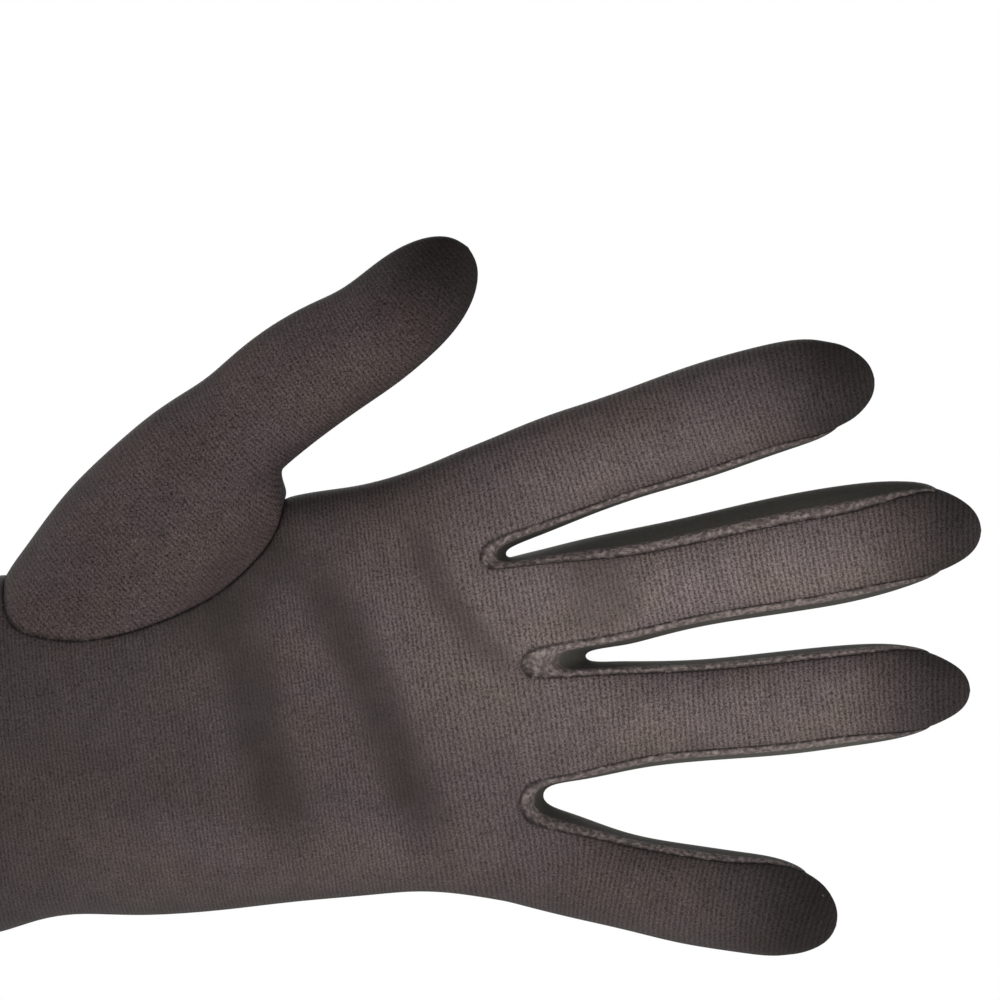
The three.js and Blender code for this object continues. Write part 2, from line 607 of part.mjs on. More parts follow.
// One sewn piece as a closed wall: its outer face is the glove's surface, drawn back from its seams by half
// the seam gap, its inner face lies one wall inside, and a narrow rim joins them all round.
function sewnPiece(piece) {
  const own = faces.filter((f) => f.piece === piece).map((f) => f.face);
  const sided = new Map();
  for (const [a, b, c] of own) {
    for (const [from, to] of [[a, b], [b, c], [c, a]]) sided.set(`${from} ${to}`, [from, to]);
  }
  const borders = [...sided.values()].filter(([from, to]) => !sided.has(`${to} ${from}`));
  const used = [...new Set(own.flat())];
  const shift = new Map(used.map((i) => [i, new THREE.Vector3()]));
  const inwards = new Map();
  for (const [from, to] of borders) {
    const along = places[to].clone().sub(places[from]).normalize();
    for (const i of [from, to]) {
      const inward = outward[i].clone().cross(along).normalize();
      inwards.set(i, [...(inwards.get(i) ?? []), inward]);
    }
  }
  for (const [i, directions] of inwards) {
    const sum = directions.reduce((total, d) => total.add(d), new THREE.Vector3());
    const sharpness = Math.max(sum.lengthSq() / directions.length, MITRE_LIMIT);
    const atHem = places[i].x < SLEEVE_ROWS[0] + CLOSE;
    if (!atHem) shift.set(i, sum.multiplyScalar(SEAM_GAP / 2 / sharpness));
  }
  const order = new Map(used.map((i, n) => [i, n]));
  const outer = used.map((i) => places[i].clone().add(shift.get(i)));
  const inner = used.map((i, n) => {
    const atHem = places[i].x < SLEEVE_ROWS[0] + HEM_DEPTH + CLOSE;
    const way = outward[i].clone();
    if (atHem) way.setX(0).normalize();
    return outer[n].clone().addScaledVector(way, atHem ? -HEM_WALL : -WALL);
  });
  const count = used.length;
  const triangles = [];
  for (const face of own) {
    const [a, b, c] = face.map((i) => order.get(i));
    triangles.push([a, b, c], [a + count, c + count, b + count]);
  }
  for (const [from, to] of borders) {
    const [a, b] = [order.get(from), order.get(to)];
    triangles.push([a, a + count, b], [b, a + count, b + count]);
  }
  const geometry = new THREE.BufferGeometry();
  const coordinates = [...outer, ...inner].flatMap((p) => [p.x, p.y, p.z]);
  geometry.setAttribute("position", new THREE.Float32BufferAttribute(coordinates, 3));
  geometry.setIndex(triangles.flat());
  geometry.computeVertexNormals();
  return geometry;
}

// The glove.
const PIECES = [
  { piece: "trank", name: "trank", colour: 0x4b4241 },
  { piece: "thumb_piece", name: "thumb_piece", colour: 0x433a39 },
  { piece: "fourchette_1", name: "fourchette_index_middle", colour: 0x34322f },
  { piece: "fourchette_2", name: "fourchette_middle_ring", colour: 0x34322f },
  { piece: "fourchette_3", name: "fourchette_ring_little", colour: 0x34322f },
];
const glove = new THREE.Group();
for (const { piece, name, colour } of PIECES) {
  const material = new THREE.MeshStandardMaterial({ color: colour, roughness: 0.9, metalness: 0 });
  const mesh = new THREE.Mesh(sewnPiece(piece), material);
  mesh.name = name;
  glove.add(mesh);
}

export default glove;
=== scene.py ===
"""A knitted evening glove for the left hand, in its worn shape: palm to -Y, fingers to +X, thumb to +Z.

The glove is worked out as one skin of quads from tables of sections. The sleeve and hand are rounded
sections along X, each finger and the thumb is an oval tube along its middle line, and every thread of the
cloth that leaves the hand fades into its finger. The skin is then parted along its seams into the trank, the
thumb piece and the three fourchettes. Tables are in millimetres and degrees.
"""

import bpy
import numpy as np
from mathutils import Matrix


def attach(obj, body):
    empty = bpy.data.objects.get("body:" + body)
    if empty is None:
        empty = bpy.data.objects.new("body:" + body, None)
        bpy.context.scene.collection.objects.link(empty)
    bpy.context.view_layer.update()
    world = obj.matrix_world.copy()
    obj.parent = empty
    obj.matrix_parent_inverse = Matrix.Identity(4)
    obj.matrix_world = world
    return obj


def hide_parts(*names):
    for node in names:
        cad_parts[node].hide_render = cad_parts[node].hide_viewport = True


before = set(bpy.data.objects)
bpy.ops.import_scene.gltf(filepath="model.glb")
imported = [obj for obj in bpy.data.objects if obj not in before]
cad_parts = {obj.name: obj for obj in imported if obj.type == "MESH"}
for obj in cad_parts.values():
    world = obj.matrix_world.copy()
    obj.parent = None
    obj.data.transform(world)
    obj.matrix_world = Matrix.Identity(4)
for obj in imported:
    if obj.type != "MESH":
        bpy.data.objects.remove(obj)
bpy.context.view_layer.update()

MM = 0.001

# The cloth and its seams.
WALL = 0.9                  # thickness of the knit
HEM_STITCH_X = -110         # the stitching that holds the turned hem
STITCH_MARGIN = 0.1         # points this near to it are stitched
SEAM_SINK = 0.3             # depth of the valley along a seam
BEAD_RISE = 0.32            # how far the rolled seam edge stands up beside the valley, on the fourchette
BEAD_WIDTH = 1.7            # and its width
EDGE_WIDTH = 0.8            # width of the cloth that dips into a seam

# Sections across the sleeve and the hand: x, the thumb side, the little finger's side, and the depth of the
# palm and of the back.
HAND_SECTIONS = np.array([
    [-120, 35.5, -34.5, 29, 29],
    [-85, 33.0, -32.0, 26.5, 26.5],
    [-50, 30.0, -29.0, 23, 22.5],
    [-24, 27.5, -26.8, 20, 19.5],
    [-13, 27.8, -27.8, 19.5, 19],
    [-4, 30.4, -30.8, 20, 19],
    [3, 31.8, -28.8, 20, 18],
    [10, 33.0, -26.5, 20, 17],
    [24, 36.0, -26.7, 20, 15.8],
    [36, 39.8, -26.0, 18.5, 14.8],
    [50, 44.9, -24.4, 16.5, 14],
    [62, 46.6, -23.4, 15, 13.2],
    [72, 49.8, -22.6, 13.6, 12.6],
    [82, 54.4, -23.8, 12.4, 12],
    [96, 60.5, -27.2, 10.5, 11],
])
HAND_SQUARENESS = 2.4

# Rows of the sleeve from the inner edge of the turned hem round its fold and up to the wrist: x, and how far
# the row lies inside the section.
SLEEVE_ROWS = np.array([
    [-110.0, 1.3], [-119.2, 1.3], [-120.0, 0.65], [-119.2, 0], [-110.7, 0], [-110.0, 0.4], [-109.3, 0],
    [-94, 0], [-78, 0], [-62, 0], [-47, 0], [-34, 0], [-24, 0], [-16, 0],
])
PARTING_X = -10             # where the hand's own rows begin
HAND_ROWS = 17              # from there to the knuckles
WRIST_SIDE_ANGLE = 30       # half the angle round the wrist that each edge of the hand takes

# Each finger: its middle line x, y, z with half width and half depth, the length of its rounded tip, how far
# the hand's shape reaches into it, and the angles of its seams on the palm side and the back.
FINGERS = [
    dict(cap=14.5, knuckle=18, palm=(42, 146), back=(-42, -140), bones=np.array([
        [82.0, 0.0, 44.8, 9.9, 9.6],
        [91.8, -0.2, 48.2, 9.8, 9.2],
        [104.9, -1.0, 52.6, 9.4, 8.8],
        [118.0, -2.2, 56.9, 9.9, 8.7],
        [127.0, -3.4, 59.9, 9.7, 8.2],
        [137.7, -5.0, 62.8, 9.0, 7.4],
        [148.4, -6.6, 64.4, 8.4, 6.6],
    ])),
    dict(cap=20, knuckle=20, palm=(60, 140), back=(-36, -140), bones=np.array([
        [91.8, 0.0, 26.0, 9.4, 9.8],
        [101.7, -0.3, 28.2, 10.1, 9.4],
        [109.0, -0.7, 29.8, 10.0, 9.2],
        [117.0, -1.2, 31.6, 9.8, 9.0],
        [132.3, -2.4, 34.6, 10.4, 8.9],
        [142.0, -3.6, 36.3, 10.5, 8.4],
        [155.0, -5.4, 38.6, 9.7, 7.4],
        [166.5, -6.8, 38.8, 9.3, 6.6],
    ])),
    dict(cap=18, knuckle=20, palm=(38, 138), back=(-40, -140), bones=np.array([
        [93.0, 0.0, 6.9, 9.4, 9.4],
        [105.4, -0.2, 7.4, 9.4, 8.9],
        [119.5, -1.0, 8.2, 9.0, 8.5],
        [133.5, -2.4, 9.5, 9.2, 8.4],
        [143.0, -3.7, 10.7, 9.0, 7.9],
        [154.5, -5.4, 11.8, 8.5, 7.2],
        [164.6, -6.8, 11.8, 8.0, 6.4],
    ])),
    dict(cap=13.5, knuckle=18, palm=(40, 138), back=(-40, -138), bones=np.array([
        [89.0, 0.0, -16.4, 8.5, 8.8],
        [98.4, -0.3, -18.9, 8.5, 8.3],
        [108.0, -1.0, -21.2, 8.4, 7.9],
        [117.3, -2.2, -23.0, 8.8, 7.8],
        [124.5, -3.6, -24.0, 8.8, 7.5],
        [131.5, -5.0, -25.0, 8.6, 6.9],
        [141.9, -6.8, -28.0, 8.2, 6.2],
    ])),
]
TAPER_LENGTH = 15           # how far a fourchette narrows to its point
TIP_MARGIN = 6              # how far short of the fingertip the point ends
FINGER_ROWS = 11            # rows from the knuckles to the rounded tip
CAP_ROWS = np.array([0.28, 0.52, 0.72, 0.86, 0.95])
LEAST_STEP = 1              # rings of the tip keep this far from the fourchettes' end
POLE_STEP = 2               # how much further along the cloth the very tip lies

# The bottom of each gap between fingers: x, z and half width of the palm seam, how much nearer the wrist the
# middle of the bend lies, x, z and half width of the web halfway to the back, and x of the back seam.
CROTCHES = np.array([
    [83.0, 34.5, 2.4, 1.6, 87.8, 34.9, 0.8, 80],
    [89.8, 16.4, 2.4, 1.6, 103.0, 17.6, 0.7, 87],
    [89.8, -7.0, 3.4, 2.0, 94.2, -6.0, 1.5, 87],
])
# Where the knuckles end at the two edges of the hand, on the palm and on the back: x and angle.
THUMB_SIDE_END = ((79, 21), (77, -21))
FAR_SIDE_END = ((87, 158), (86, -158))

# The thumb: its middle line as a finger's, and the oval seam that sets it into the hand, over the palm and
# then over the back of the hand, as x and z.
THUMB_BONES = np.array([
    [10, -1.0, 25.0, 11.5, 14.5],
    [21.8, -2.5, 36.8, 13.6, 14.0],
    [33.2, -5.0, 49.8, 11.4, 12.4],
    [42.2, -7.0, 57.0, 9.9, 10.6],
    [48.5, -8.6, 62.4, 10.2, 9.8],
    [55.6, -10.2, 67.2, 10.0, 9.4],
    [63.2, -11.6, 71.3, 9.2, 9.0],
    [70.5, -13.0, 77.5, 9.0, 8.0],
    [79.7, -14.6, 86.3, 9.4, 7.2],
])
THUMB_CAP = 16              # length of the rounded tip
THUMB_FULL_SECTION = 3      # row of the table from which the thumb is an oval tube
THUMB_GIRTH = 64
THUMB_ROWS = 9              # rows from the seam to that section
THUMB_EDGE = 0.04           # share of the way there that the narrow first row takes
THUMB_UPPER_ROWS = 5        # rows from the section to the rounded tip
OVAL_PALM = np.array([
    [48.6, 45.0], [47.8, 39.8], [45.4, 35.4], [38.4, 28.6], [27.4, 23.2], [15.2, 20.4],
    [6.6, 21.4], [2.2, 24.6], [0.9, 30.6],
])
OVAL_BACK = np.array([[0.9, 30.6], [5, 27.6], [16, 27], [30, 30], [41, 36], [48.6, 45.0]])
OVAL_MIDDLE = (24.5, 0)     # x and angle about which the trank's rim is enlarged
RIM_MARGIN = 1.045
OPENING_ROWS = (3, 12)      # rows of the hand between which the thumb's opening lies
OPENING_COLUMNS = (-4, 7)   # and columns, counted from the hand's thumb edge

# Soft folds across the palm: from x1, z1 to x2, z2, bow, rise (negative sinks) and half width.
PALM_FOLDS = np.array([
    [52.7, 37, 74.7, -16, -1.7, -1.5, 3.8],
    [61, 34, 82, -12, -1.5, 0.6, 4.0],
    [43, 24, 51.5, -15, 1.2, -1.2, 4.2],
    [49, 22, 60.5, -16, 0.0, 0.6, 3.4],
    [70.5, 41, 87, 15.5, 2.7, -0.8, 2.8],
])
# Painted light on the palm side, as the folds' table with a share of tone in place of the rise: painted shade
# in the three sunk folds, below the thumb's seam and at the root of the middle finger, and a painted
# lighter band along the heel of the hand.
PAINTED_LIGHT_BANDS = np.array([
    [51.2, 37, 75.2, -19, -1.7, -0.42, 4.6],
    [41, 28, 52, -18, 1.2, -0.36, 4.8],
    [70, 42, 88, 15, 2.7, -0.33, 2.7],
    [30, 19, 50, 39, 0.0, -0.28, 6.0],
    [101, 37, 103, 21, 0.0, -0.27, 7.0],
    [10, -17, 88, -19, 0.0, 0.3, 9.0],
])
DEEPEST_SHADE = 0.5
BAND_START = (-0.1, 0.25)   # shares of a band's length over which it fades in
BAND_END = (0.75, 1.1)      # and out
SLACK_OPENNESS = 0.7        # how clearly the rows show where the cloth isn't stretched
FOLD_CLOSING = 1.4          # how fast they are lost with the bands' shade
FOLD_OPENNESS = 0.5         # and the least that is left of them

# The knit: its rows run across the hand and lean a little over the palm.
GRAIN_LEAN = np.tan(np.radians(10))
LEAN_ENDS = (-60, 20)       # x from which the lean grows and where it is full
HAND_GIRTH = 170
HAND_CLOSENESS = 0.32       # the rows lie this much closer on the sleeve and palm than on the fingers
CLOSE_UP_TO = 70            # x at which they begin to open
THUMB_CLOSENESS = 0.2       # and closer on the thumb

# Shares across a finger's palm side or back, across a fourchette and across a plain edge, with narrow cells
# beside the seams.
FACE_WIDTH = 15
SIDE_WIDTH = 14
EDGE = EDGE_WIDTH / FACE_WIDTH
BEAD = BEAD_WIDTH / SIDE_WIDTH
FACE_SHARES = np.array([0, EDGE, 0.25, 0.5, 0.75, 1 - EDGE, 1])
SIDE_SHARES = np.array([0, BEAD / 2, BEAD, 0.5, 1 - BEAD, 1 - BEAD / 2, 1])
PLAIN_SHARES = np.array([0, 1 / 3, 2 / 3, 1])
FACE = len(FACE_SHARES) - 1
KNUCKLE_EDGE = EDGE * 3     # narrow share of the hand's last row, which is a third of a face's width long

# The knit is palest round this x and z, partly where the fingers stretch it and partly as a painted pool of
# frontal light, and has painted shade in the folds and at the tips.
STRETCHED_AND_LIT = (118, 26)
STRETCHED_AND_LIT_REACH = (66, 38)
# tone away from both the stretch and the painted pool of light
SLACK_TONE_OUTSIDE_LIGHT_POOL = 0.3
# painted shade at the fingertips
TIP_SHADE = 0.69
TIP_SHADE_ENDS = (5, 27)    # how far from the very tip it begins to fade and is gone
PALM_SIDE = (2, 10)         # depth in front of the middle plane over which the palm's folds fade in

# The pieces' numbers, the fourchettes' following the first.
TRANK, THUMB, FIRST_FOURCHETTE = 0, 1, 2
FOURCHETTES = ("fourchette_index_middle", "fourchette_middle_ring", "fourchette_ring_little")


# Curves and sections.
def smoothstep(value, low, high):
    """0 below low, 1 above high, and 3t^2 - 2t^3 between."""
    t = np.clip((value - low) / (high - low), 0, 1)
    return t * t * (3 - 2 * t)


def unit(vectors):
    """Each vector divided by its length."""
    return vectors / np.maximum(np.linalg.norm(vectors, axis=-1, keepdims=True), 1e-9)


def through_rows(keys, table, at):
    """A smooth curve through the table's rows at keys: cubics whose end slopes span the rows either side."""
    at = np.asarray(at, float)
    slopes = np.empty(table.shape)
    slopes[1:-1] = (table[2:] - table[:-2]) / (keys[2:] - keys[:-2])[:, None]
    slopes[0] = (table[1] - table[0]) / (keys[1] - keys[0])
    slopes[-1] = (table[-1] - table[-2]) / (keys[-1] - keys[-2])
    i = np.clip(np.searchsorted(keys, at, side="right") - 1, 0, len(keys) - 2)
    span = (keys[i + 1] - keys[i])[..., None]
    raw = (at - keys[i])[..., None] / span
    t = np.clip(raw, 0, 1)
    ends = table[i] * (1 + 2 * t) * (1 - t) ** 2 + table[i + 1] * t * t * (3 - 2 * t)
    lean = slopes[i] * t * (1 - t) ** 2 - slopes[i + 1] * t * t * (1 - t)
    beyond = np.where(raw > 1, slopes[i + 1], slopes[i]) * (raw - t)
    return ends + span * (lean + beyond)


def across_bands(bands, x, z, power):
    """Sum over a table's bands of height times exp(-|aside / half width|^power), faded out at both ends."""
    total = np.zeros(np.shape(x))
    for x1, z1, x2, z2, bow, height, spread in bands:
        length = np.hypot(x2 - x1, z2 - z1)
        ux, uz = (x2 - x1) / length, (z2 - z1) / length
        t = ((x - x1) * ux + (z - z1) * uz) / length
        aside = (z - z1) * ux - (x - x1) * uz + bow * 4 * t * (1 - t)
        ends = smoothstep(t, *BAND_START) * (1 - smoothstep(t, *BAND_END))
        total = total + height * ends * np.exp(-np.abs(aside / spread) ** power)
    return total


def hand_size(x):
    """Middle height, half height, palm depth and back depth of the hand's section at x."""
    top, bottom, palm, back = np.moveaxis(through_rows(HAND_SECTIONS[:, 0], HAND_SECTIONS[:, 1:], x), -1, 0)
    return (top + bottom) / 2, (top - bottom) / 2, palm, back


def hand_point(x, angle):
    """A squared oval in each x section: height and depth are signed powers of the cosine and the sine."""
    x, angle = np.broadcast_arrays(np.asarray(x, float), np.radians(np.asarray(angle, float)))
    middle, half, palm, back = hand_size(x)
    cosine, sine = np.cos(angle), np.sin(angle)
    z = middle + half * np.sign(cosine) * np.abs(cosine) ** (2 / HAND_SQUARENESS)
    forward = np.sign(sine) * np.abs(sine) ** (2 / HAND_SQUARENESS)
    depth = forward * np.where(sine > 0, palm, back)
    return np.stack([x, -depth, z], axis=-1)


def hand_angle(x, z, on_back):
    """The angle around the hand's section at which it reaches height z, negative on the back."""
    middle, half, _, _ = hand_size(x)
    t = np.clip((z - middle) / half, -1, 1)
    angle = np.degrees(np.arccos(np.sign(t) * np.abs(t) ** (HAND_SQUARENESS / 2)))
    return -angle if on_back else angle


class Digit:
    """A finger or the thumb: an oval tube along a smooth middle line that rounds off as an ellipse does."""

    def __init__(self, bones, cap):
        steps = np.linalg.norm(np.diff(bones[:, :3], axis=0), axis=1)
        self.stations = np.concatenate([[0], np.cumsum(steps)])
        self.bones = bones
        self.cap = cap
        self.tip = self.stations[-1]
        self.last = self.tip - cap

    def frame(self, station):
        """Centre, the two directions across the line, half width and half depth at a station."""
        station = np.asarray(station, float)
        here = through_rows(self.stations, self.bones, station)
        ahead = through_rows(self.stations, self.bones[:, :3], station + 0.5)
        behind = through_rows(self.stations, self.bones[:, :3], station - 0.5)
        along = unit(ahead - behind)
        flat = np.zeros(along.shape[:-1])
        across = unit(np.stack([-along[..., 2], flat, along[..., 0]], axis=-1))
        return here[..., :3], across, np.cross(along, across), here[..., 3], here[..., 4]

    def point(self, station, angle):
        """Centre plus width times cosine across plus depth times sine forward, shrunk in the tip."""
        station, angle = np.broadcast_arrays(np.asarray(station, float), np.radians(angle))
        centre, across, forward, width, depth = self.frame(station)
        share = np.clip((station - self.last) / self.cap, 0, 1)
        shrink = np.sqrt(1 - share ** 2)
        side = across * (width * shrink * np.cos(angle))[..., None]
        return centre + side + forward * (depth * shrink * np.sin(angle))[..., None]


def fade(share):
    """How much of the hand's shape is left: 1 at share 0, falling smoothly to 0 at share 1."""
    q = np.clip(share, 0, 1)
    return (1 - q) ** 2 * (1 + 2 * q)


def closed(grid):
    """The grid with its first column repeated after its last."""
    return np.concatenate([grid, grid[:, :1]], axis=1)


class Skin:
    """The glove's surface, gathered as quads: each corner's point, its place in the cloth and its rise."""

    def __init__(self):
        self.corners = []
        self.pieces = []

    def add(self, points, cloth, piece, rise=0.0, keep=True):
        """Adds the quads between the neighbouring rows and columns of a grid of points."""
        shape = points.shape[:2]
        grid = np.concatenate([points, cloth, np.broadcast_to(rise, shape)[..., None]], axis=-1)
        quads = np.stack([grid[:-1, :-1], grid[:-1, 1:], grid[1:, 1:], grid[1:, :-1]], axis=2)
        cells = (shape[0] - 1, shape[1] - 1)
        chosen = np.broadcast_to(keep, cells).ravel()
        self.corners.append(quads.reshape(-1, 4, grid.shape[-1])[chosen])
        self.pieces.append(np.broadcast_to(piece, cells).ravel()[chosen])


skin = Skin()


# The columns around the hand, and each one's place on the knuckle row.
def crotch_corner(crotch, side, on_back):
    """x and angle of a gap's seam: on the finger above the gap (1), below it (-1) or midway (0)."""
    x, z, half_gap, bend = crotch[:4]
    x = (crotch[7] if on_back else x) - (bend if side == 0 else 0)
    return np.array([x, hand_angle(x, z + side * half_gap, on_back)])


def face_columns(on_back):
    """The knuckle row over the palm or the back, from the forefinger to the little finger."""
    columns = []
    for finger in range(len(FINGERS)):
        near = np.array(THUMB_SIDE_END[on_back], float)
        far = np.array(FAR_SIDE_END[on_back], float)
        if finger > 0:
            near = crotch_corner(CROTCHES[finger - 1], -1, on_back)
        if finger < len(CROTCHES):
            far = crotch_corner(CROTCHES[finger], 1, on_back)
        columns.append(near + (far - near) * FACE_SHARES[:, None])
        if finger < len(CROTCHES):
            columns.append(crotch_corner(CROTCHES[finger], 0, on_back)[None])
    return np.concatenate(columns)


TURN = np.array([0, 360])
palm_columns = face_columns(False)
back_columns = face_columns(True)
inner = PLAIN_SHARES[1:-1, None]
thumb_edge = back_columns[0] + (palm_columns[0] - back_columns[0]) * inner
far_edge = palm_columns[-1] + (back_columns[-1] + TURN - palm_columns[-1]) * inner
knuckles = np.concatenate([thumb_edge, palm_columns, far_edge, (back_columns + TURN)[::-1]])
COLUMNS = len(knuckles)
PALM_START = len(thumb_edge)
BACK_START = PALM_START + len(palm_columns) + len(far_edge)

# The wrist's columns stand evenly on the palm, the back and the two edges.
face_angles = np.linspace(WRIST_SIDE_ANGLE, 180 - WRIST_SIDE_ANGLE, len(palm_columns))
side_angles = WRIST_SIDE_ANGLE * (2 * PLAIN_SHARES[1:-1] - 1)
wrist_angles = np.concatenate([side_angles, face_angles, 180 + side_angles, 180 + face_angles])


def oval_steps(points, on_back, steps):
    """Equal steps along half of the oval seam, as x and angle around the hand."""
    angles = hand_angle(points[:, 0], points[:, 1], on_back)
    angles[[0, -1]] = 0
    keys = np.arange(len(points), dtype=float)
    dense = through_rows(keys, np.column_stack([points[:, 0], angles]), np.linspace(0, keys[-1], 600))
    lengths = np.linalg.norm(np.diff(hand_point(dense[:, 0], dense[:, 1]), axis=0), axis=1)
    total = np.concatenate([[0], np.cumsum(lengths)])
    wanted = np.linspace(0, total[-1], steps + 1)[:-1]
    return np.column_stack([np.interp(wanted, total, dense[:, 0]), np.interp(wanted, total, dense[:, 1])])


def opening_rim():
    """Rows and columns round the thumb's opening from the fork over the palm, and how many lie there."""
    (low, high), (near, far) = OPENING_ROWS, OPENING_COLUMNS
    middle = len(thumb_edge) // 2
    palm_side = ([(high, c) for c in range(middle, far)] + [(r, far) for r in range(high, low, -1)]
                 + [(low, c) for c in range(far, middle, -1)])
    back_side = ([(low, c) for c in range(middle, near, -1)] + [(r, near) for r in range(low, high)]
                 + [(high, c) for c in range(near, middle)])
    return np.array(palm_side + back_side), len(palm_side)


rim, rim_palm = opening_rim()
oval = np.concatenate([
    oval_steps(OVAL_PALM, False, rim_palm), oval_steps(OVAL_BACK, True, len(rim) - rim_palm)])
rim_places = OVAL_MIDDLE + (oval - OVAL_MIDDLE) * RIM_MARGIN


def relaxed_hand(passes=800):
    """x and angle of the hand's grid: its end rows and the rim stay, the rest average their neighbours."""
    share = np.linspace(0, 1, HAND_ROWS + 1)[:, None, None]
    wrist = np.column_stack([np.full(COLUMNS, PARTING_X), wrist_angles])
    grid = wrist[None] * (1 - share) + knuckles[None] * share
    free = np.ones(grid.shape[:2], bool)
    free[[0, -1]] = False
    free[OPENING_ROWS[0] + 1:OPENING_ROWS[1], np.arange(OPENING_COLUMNS[0] + 1, OPENING_COLUMNS[1])] = False
    columns = rim[:, 1]
    grid[rim[:, 0], columns] = rim_places + TURN * (columns < 0)[:, None]
    free[rim[:, 0], columns] = False
    for _ in range(passes):
        before = np.roll(grid, 1, axis=1)
        before[:, 0] -= TURN
        after = np.roll(grid, -1, axis=1)
        after[:, -1] += TURN
        average = grid.copy()
        average[1:-1] = (grid[:-2] + grid[2:] + before[1:-1] + after[1:-1]) / 4
        grid = np.where(free[..., None], average, grid)
    narrow = grid[-2] + (grid[-1] - grid[-2]) * (1 - KNUCKLE_EDGE)
    return np.concatenate([grid[:-1], narrow[None], grid[-1:]])


def hand_cloth(points, angles):
    """Place in the cloth in mm: round the hand, and along it with a lean that grows towards the palm."""
    x, z = points[..., 0], points[..., 2]
    along = x + HAND_CLOSENESS * np.minimum(x, CLOSE_UP_TO) + z * GRAIN_LEAN * smoothstep(x, *LEAN_ENDS)
    return np.stack([np.broadcast_to(angles, along.shape) / 360 * HAND_GIRTH, along], axis=-1)


def hand_part():
    """The sleeve and the hand as closed rings, without the thumb's opening; gives back the last ring."""
    sleeve_x = np.repeat(SLEEVE_ROWS[:, :1], COLUMNS, axis=1)
    sleeve_angles = np.broadcast_to(wrist_angles, sleeve_x.shape)
    hand = relaxed_hand()
    x = np.concatenate([sleeve_x, hand[..., 0]])
    angles = np.concatenate([sleeve_angles, hand[..., 1]])
    points = hand_point(x, angles)
    cloth = hand_cloth(points, angles)
    sleeve = points[:len(SLEEVE_ROWS), :, 1:]
    sleeve -= unit(sleeve) * SLEEVE_ROWS[:, 1, None, None]
    knuckle_row, knuckle_cloth = points[-1], cloth[-1]
    points, cloth = closed(points), closed(cloth)
    cloth[:, -1, 0] += HAND_GIRTH
    rows = np.arange(len(points) - 1)[:, None] - len(SLEEVE_ROWS)
    columns = (np.arange(COLUMNS)[None] + COLUMNS // 2) % COLUMNS - COLUMNS // 2
    beside = (rows < OPENING_ROWS[0]) | (rows >= OPENING_ROWS[1])
    beside = beside | (columns < OPENING_COLUMNS[0]) | (columns >= OPENING_COLUMNS[1])
    skin.add(points, cloth, TRANK, keep=beside)
    return knuckle_row, knuckle_cloth


def rim_part():
    """The trank's narrow strip between its rim and the oval seam; gives back the seam's points."""
    seam = hand_point(oval[:, 0], oval[:, 1])
    outer = hand_point(rim_places[:, 0], rim_places[:, 1])
    points = closed(np.stack([seam, outer]))
    angles = closed(np.stack([oval, rim_places]))[..., 1]
    skin.add(points, hand_cloth(points, angles), TRANK)
    return seam


knuckle_row, knuckle_cloth = hand_part()
oval_seam = rim_part()


def saddle(crotch, side):
    """A fourchette's line round the bottom of a gap, from the palm seam to the back seam through the web."""
    start = hand_point(*crotch_corner(crotch, side, False))
    end = hand_point(*crotch_corner(crotch, side, True))
    share = SIDE_SHARES[:, None]
    web_x = crotch[4] - (crotch[3] / 2 if side == 0 else 0)
    web = np.array([web_x, 0, crotch[5] + side * crotch[6]])
    pull = 4 * share * (1 - share) * (web - (start + end) / 2)
    pull[:, 1] = 0
    return start + (end - start) * share + pull


def ring_angles(finger, near_shares, far_shares, open_share):
    """Angles round a finger by palm, far side, back and near side; its seams meet where open_share is 0."""
    near, far = finger["palm"]
    back_near, back_far = finger["back"][0] + 360, finger["back"][1] + 360
    far_middle = (far + back_far) / 2
    near_middle = (near + 360 + back_near) / 2
    far = far_middle + (far - far_middle) * open_share
    back_far = far_middle + (back_far - far_middle) * open_share
    back_near = near_middle + (back_near - near_middle) * open_share
    near = near_middle - 360 + (near + 360 - near_middle) * open_share
    runs = [(near, far, FACE_SHARES), (far, back_far, far_shares[1:-1]),
            (back_far, back_near, FACE_SHARES), (back_near, near + 360, near_shares[1:-1])]
    return np.concatenate([start + (end - start) * shares for start, end, shares in runs], axis=-1)


def finger_roots(index):
    """Where a finger's threads start, and their places in the cloth, in the order of ring_angles."""
    start = PALM_START + index * (FACE + 2)
    back = BACK_START + (len(FINGERS) - 1 - index) * (FACE + 2)
    palm_roots, back_roots = slice(start, start + FACE + 1), slice(back, back + FACE + 1)
    edge = slice(0, PALM_START) if index == 0 else slice(start + FACE + 1, back)
    parts = (palm_roots, edge, back_roots, edge)
    runs = [knuckle_row[part] for part in parts]
    cloths = [knuckle_cloth[part] for part in parts]
    if index < len(CROTCHES):
        runs[1] = saddle(CROTCHES[index], 1)[1:-1]
        cloths[1] = knuckle_cloth[start + FACE] + np.zeros((len(runs[1]), 2))
    if index > 0:
        runs[3] = saddle(CROTCHES[index - 1], -1)[1:-1][::-1]
        cloths[3] = knuckle_cloth[start] + np.zeros((len(runs[3]), 2))
    else:
        cloths[3] = cloths[3] + [HAND_GIRTH, 0]
    return np.concatenate(runs), np.concatenate(cloths)


def finger_stations(digit, point_end):
    """Stations of a finger's rings: even ones, those of the rounded tip and the one where fourchettes end."""
    cap_stations = digit.last + digit.cap * CAP_ROWS
    cap_stations = cap_stations[np.abs(cap_stations - point_end) > LEAST_STEP]
    even_stations = np.linspace(0, digit.last, FINGER_ROWS)
    return np.sort(np.concatenate([even_stations, cap_stations, [point_end]]))[:, None]


